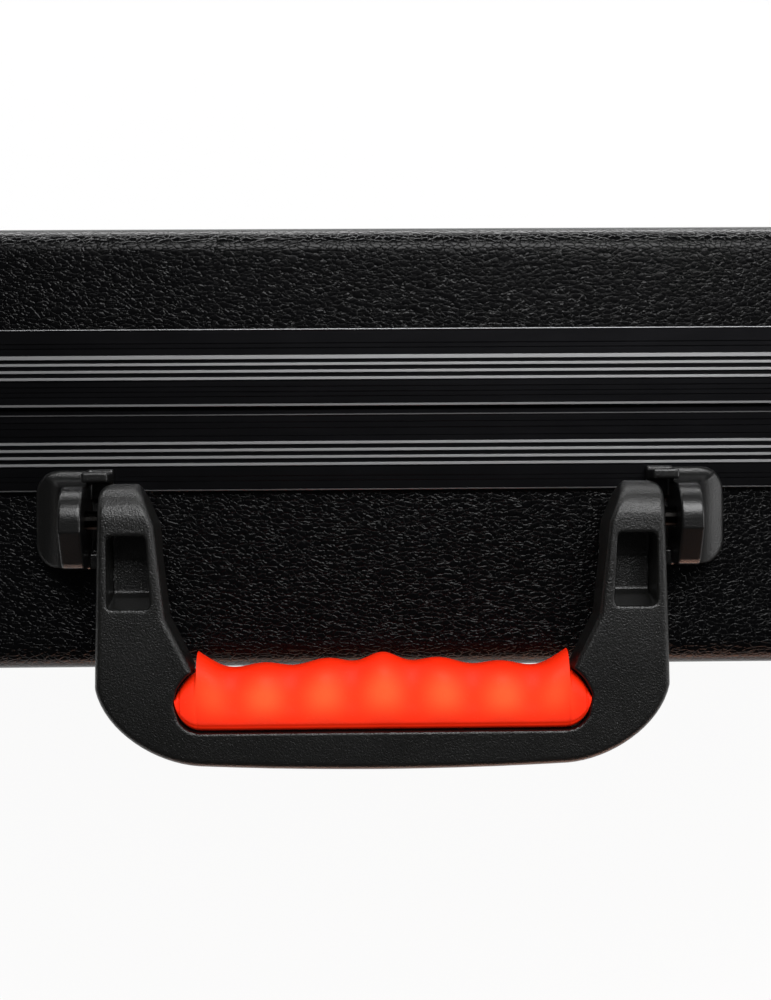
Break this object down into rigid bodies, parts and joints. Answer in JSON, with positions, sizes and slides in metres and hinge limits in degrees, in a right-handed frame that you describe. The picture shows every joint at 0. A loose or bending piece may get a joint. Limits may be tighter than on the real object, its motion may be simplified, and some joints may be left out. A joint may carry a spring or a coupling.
{
  "type": "effects processor case",
  "caption": "Moulded black case with ribbed aluminium rims, a folding handle with an orange grip, draw latches, hinges and cut foam for a floor effects processor.",
  "frame": {"origin": "the middle of the footprint in X and Y, on the ground under the four feet of the hinge side", "axes": "+X along the width, to the right seen from the base's big face; +Y from base to lid; +Z from the hinge side up to the handle side"},
  "size_m": [0.565, 0.148, 0.3754],
  "materials": {
    "shell_abs": "black, leather grained",
    "rim_aluminium": "black anodised, satin",
    "handle_nylon": "black, fine spark texture",
    "bracket_nylon": "black, smooth satin",
    "grip_rubber": "orange, matte",
    "nickel_plated_steel": "nickel plated, satin",
    "foot_rubber": "black, matte",
    "foam": "charcoal open-cell foam"
  },
  "bodies": {
    "base": {"base_shell": "shell_abs", "base_rim": "rim_aluminium", "base_foam": "foam", "handle_bracket_left": "bracket_nylon", "handle_bracket_right": "bracket_nylon", "handle_pin_left": "nickel_plated_steel", "handle_pin_right": "nickel_plated_steel", "handle_backing_plate_left": "nickel_plated_steel", "handle_backing_plate_right": "nickel_plated_steel", "handle_screw_left_upper": "nickel_plated_steel", "handle_screw_left_lower": "nickel_plated_steel", "handle_screw_right_upper": "nickel_plated_steel", "handle_screw_right_lower": "nickel_plated_steel", "latch_plate_left": "nickel_plated_steel", "latch_plate_right": "nickel_plated_steel", "latch_pivot_pin_left": "nickel_plated_steel", "latch_pivot_pin_right": "nickel_plated_steel", "hinge_base_leaf_left": "nickel_plated_steel", "hinge_base_leaf_right": "nickel_plated_steel", "hinge_pin_left": "nickel_plated_steel", "hinge_pin_right": "nickel_plated_steel", "back_foot_base_left": "foot_rubber", "back_foot_base_right": "foot_rubber", "face_foot_left_back": "foot_rubber", "face_foot_left_front": "foot_rubber", "face_foot_right_back": "foot_rubber", "face_foot_right_front": "foot_rubber"},
    "lid": {"lid_shell": "shell_abs", "lid_rim": "rim_aluminium", "lid_foam": "foam", "latch_catch_left": "nickel_plated_steel", "latch_catch_right": "nickel_plated_steel", "hinge_lid_leaf_left": "nickel_plated_steel", "hinge_lid_leaf_right": "nickel_plated_steel", "back_foot_lid_left": "foot_rubber", "back_foot_lid_right": "foot_rubber"},
    "handle": {"handle_frame": "handle_nylon", "handle_grip": "grip_rubber"},
    "latch_lever_left": {"latch_lever_left": "nickel_plated_steel", "latch_link_pin_left": "nickel_plated_steel"},
    "latch_link_left": {"latch_link_left": "nickel_plated_steel"},
    "latch_lever_right": {"latch_lever_right": "nickel_plated_steel", "latch_link_pin_right": "nickel_plated_steel"},
    "latch_link_right": {"latch_link_right": "nickel_plated_steel"}
  },
  "joints": [
    {"name": "lid_hinge", "type": "hinge", "parent": "base", "child": "lid", "pos_m": [0, 0.0216, 0.006], "axis": [-1, 0, 0], "range_deg": [0, 100]},
    {"name": "handle_hinge", "type": "hinge", "parent": "base", "child": "handle", "pos_m": [0, -0.0084, 0.365], "axis": [-1, 0, 0], "range_deg": [0, 90]},
    {"name": "latch_lever_left_hinge", "type": "hinge", "parent": "base", "child": "latch_lever_left", "pos_m": [-0.18, 0.0016, 0.36], "axis": [-1, 0, 0], "range_deg": [0, 130]},
    {"name": "latch_link_left_hinge", "type": "hinge", "parent": "latch_lever_left", "child": "latch_link_left", "pos_m": [-0.18, -0.0064, 0.359], "axis": [1, 0, 0], "range_deg": [0, 145]},
    {"name": "latch_lever_right_hinge", "type": "hinge", "parent": "base", "child": "latch_lever_right", "pos_m": [0.18, 0.0016, 0.36], "axis": [-1, 0, 0], "range_deg": [0, 130]},
    {"name": "latch_link_right_hinge", "type": "hinge", "parent": "latch_lever_right", "child": "latch_link_right", "pos_m": [0.18, -0.0064, 0.359], "axis": [1, 0, 0], "range_deg": [0, 145]}
  ],
  "couplings": [
    {"joint": "latch_link_left_hinge", "follows": "latch_lever_left_hinge", "ratio": 1.115},
    {"joint": "latch_link_right_hinge", "follows": "latch_lever_right_hinge", "ratio": 1.115}
  ]
}
